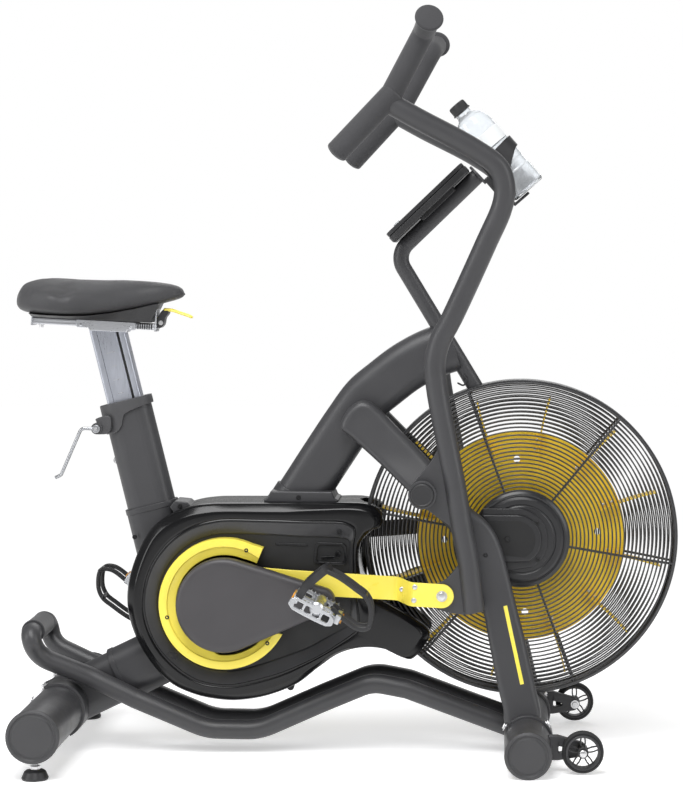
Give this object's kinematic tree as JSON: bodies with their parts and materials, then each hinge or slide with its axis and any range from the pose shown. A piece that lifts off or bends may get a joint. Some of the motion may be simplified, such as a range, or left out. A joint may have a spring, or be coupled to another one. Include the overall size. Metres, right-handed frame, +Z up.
{
  "type": "air bike",
  "caption": "Seated exercise cycle with a fan in a round wire cage, swinging handle arms rod-driven from the cranks, sliding saddle post, console, drink bottle and transport wheels.",
  "frame": {"origin": "on the floor, under the centre of the overall box", "axes": "+X forward (the way the rider faces), +Y to the rider's left, +Z up"},
  "size_m": [1.169, 0.57, 1.2889],
  "materials": {
    "frame": "satin powder coat",
    "gloss_black": "glossy moulding",
    "yellow_paint": "semi-gloss",
    "fan_yellow": "semi-gloss",
    "steel": "machined",
    "aluminium": "anodised",
    "chrome": "polished",
    "black_plastic": "fine texture",
    "foam": "foam sleeve",
    "vinyl": "grained vinyl",
    "clear_plastic": "clear",
    "cover_grey": "satin",
    "screen": "dark display",
    "button_grey": "satin",
    "belt_rubber": "ribbed",
    "wheel_plastic": "moulded"
  },
  "bodies": {
    "root": {"seat_mast": "frame", "mast_collar": "black_plastic", "rear_stabiliser": "frame", "front_stabiliser": "frame", "rear_cap_left": "black_plastic", "rear_cap_right": "black_plastic", "front_cap_left": "black_plastic", "front_cap_right": "black_plastic", "lower_beam": "frame", "main_arch": "frame", "console_mast": "frame", "base_loop": "frame", "loop_grip": "foam", "fork_member_right": "frame", "fork_member_left": "frame", "housing_right": "gloss_black", "housing_left": "gloss_black", "guard_ring_right": "yellow_paint", "guard_ring_left": "yellow_paint", "fan_axle": "steel", "drive_belt": "belt_rubber", "cage_right": "frame", "cage_left": "frame", "cage_band": "frame", "hub_cover_right": "black_plastic", "hub_cover_left": "black_plastic", "console_case": "black_plastic", "console_screen": "screen", "bottle_holder": "black_plastic"},
    "crank": {"crank_spindle": "steel", "crank_arm_right": "steel", "crank_arm_left": "steel", "crank_cover_right": "cover_grey", "crank_cover_left": "cover_grey"},
    "pedal_right": {"pedal_right": "steel"},
    "pedal_left": {"pedal_left": "steel"},
    "fan": {"fan_rotor": "fan_yellow"},
    "arm_right": {"handle_arm_right": "frame", "grip_upper_right": "foam", "grip_lower_right": "foam"},
    "arm_left": {"handle_arm_left": "frame", "grip_upper_left": "foam", "grip_lower_left": "foam"},
    "rod_right": {"drive_rod_right": "yellow_paint"},
    "rod_left": {"drive_rod_left": "yellow_paint"},
    "seat_post": {"seat_post": "aluminium"},
    "saddle": {"saddle_rail": "aluminium", "saddle_pan": "black_plastic", "saddle_cushion": "vinyl"},
    "saddle_lever": {"saddle_lever": "yellow_paint"},
    "post_lever": {"post_lever": "chrome"},
    "wheel_right": {"transport_wheel_right": "wheel_plastic"},
    "wheel_left": {"transport_wheel_left": "wheel_plastic"},
    "foot_right": {"levelling_foot_right": "black_plastic"},
    "foot_left": {"levelling_foot_left": "black_plastic"},
    "bottle": {"bottle": "clear_plastic", "bottle_cap": "black_plastic"},
    "button_left": {"button_left": "button_grey"},
    "button_right": {"button_right": "button_grey"}
  },
  "joints": [
    {"name": "crank_spin", "type": "hinge", "parent": "root", "child": "crank", "pos_m": [-0.2105, 0, 0.268], "axis": [0, 1, 0], "continuous": true},
    {"name": "pedal_right_spin", "type": "hinge", "parent": "crank", "child": "pedal_right", "pos_m": [-0.0405, -0.171, 0.2769], "axis": [0, 1, 0], "continuous": true},
    {"name": "pedal_left_spin", "type": "hinge", "parent": "crank", "child": "pedal_left", "pos_m": [-0.3805, 0.171, 0.2591], "axis": [0, 1, 0], "continuous": true},
    {"name": "fan_spin", "type": "hinge", "parent": "root", "child": "fan", "pos_m": [0.3065, 0, 0.376], "axis": [0, 1, 0], "continuous": true},
    {"name": "arm_right_swing", "type": "hinge", "parent": "root", "child": "arm_right", "pos_m": [0.1361, -0.139, 0.464], "axis": [0, 1, 0], "range_deg": [-14, 14]},
    {"name": "arm_left_swing", "type": "hinge", "parent": "root", "child": "arm_left", "pos_m": [0.1361, 0.139, 0.464], "axis": [0, 1, 0], "range_deg": [-14, 14]},
    {"name": "rod_right_pivot", "type": "hinge", "parent": "arm_right", "child": "rod_right", "pos_m": [0.1695, -0.146, 0.2894], "axis": [0, 1, 0], "range_deg": [-14, 14]},
    {"name": "rod_left_pivot", "type": "hinge", "parent": "arm_left", "child": "rod_left", "pos_m": [0.1695, 0.146, 0.2894], "axis": [0, 1, 0], "range_deg": [-14, 14]},
    {"name": "seat_post_slide", "type": "slide", "parent": "root", "child": "seat_post", "axis": [-0.2419, 0, 0.9703], "range_m": [-0.08, 0.12], "stiffness_N_per_m": 40000},
    {"name": "saddle_slide", "type": "slide", "parent": "seat_post", "child": "saddle", "axis": [0.9984, 0, -0.0558], "range_m": [-0.03, 0.06]},
    {"name": "saddle_lever_turn", "type": "hinge", "parent": "saddle", "child": "saddle_lever", "pos_m": [-0.31206, -0.008, 0.76558], "axis": [0, 1, 0], "range_deg": [0, 30]},
    {"name": "post_lever_turn", "type": "hinge", "parent": "root", "child": "post_lever", "pos_m": [-0.4415, -0.045, 0.569], "axis": [0, 1, 0], "range_deg": [-60, 25]},
    {"name": "wheel_right_spin", "type": "hinge", "parent": "root", "child": "wheel_right", "pos_m": [0.409, -0.222, 0.038], "axis": [0, 1, 0], "continuous": true},
    {"name": "wheel_left_spin", "type": "hinge", "parent": "root", "child": "wheel_left", "pos_m": [0.409, 0.222, 0.038], "axis": [0, 1, 0], "continuous": true},
    {"name": "foot_right_screw", "type": "hinge", "parent": "root", "child": "foot_right", "pos_m": [-0.5069, -0.258, 0.01], "axis": [0, 0, 1], "range_deg": [-360, 360]},
    {"name": "foot_left_screw", "type": "hinge", "parent": "root", "child": "foot_left", "pos_m": [-0.5069, 0.258, 0.01], "axis": [0, 0, 1], "range_deg": [-360, 360]},
    {"name": "bottle_lift", "type": "slide", "parent": "root", "child": "bottle", "axis": [-0.6547, 0, 0.7559], "range_m": [0, 0.15]},
    {"name": "button_left_press", "type": "slide", "parent": "root", "child": "button_left", "axis": [0.6909, 0, -0.723], "range_m": [0, 0.0012]},
    {"name": "button_right_press", "type": "slide", "parent": "root", "child": "button_right", "axis": [0.6909, 0, -0.723], "range_m": [0, 0.0012]}
  ],
  "couplings": [
    {"joint": "fan_spin", "follows": "crank_spin", "ratio": 4.6},
    {"joint": "arm_left_swing", "follows": "arm_right_swing", "ratio": -1},
    {"joint": "rod_right_pivot", "follows": "arm_right_swing", "ratio": -1},
    {"joint": "rod_left_pivot", "follows": "arm_right_swing", "ratio": 1}
  ]
}
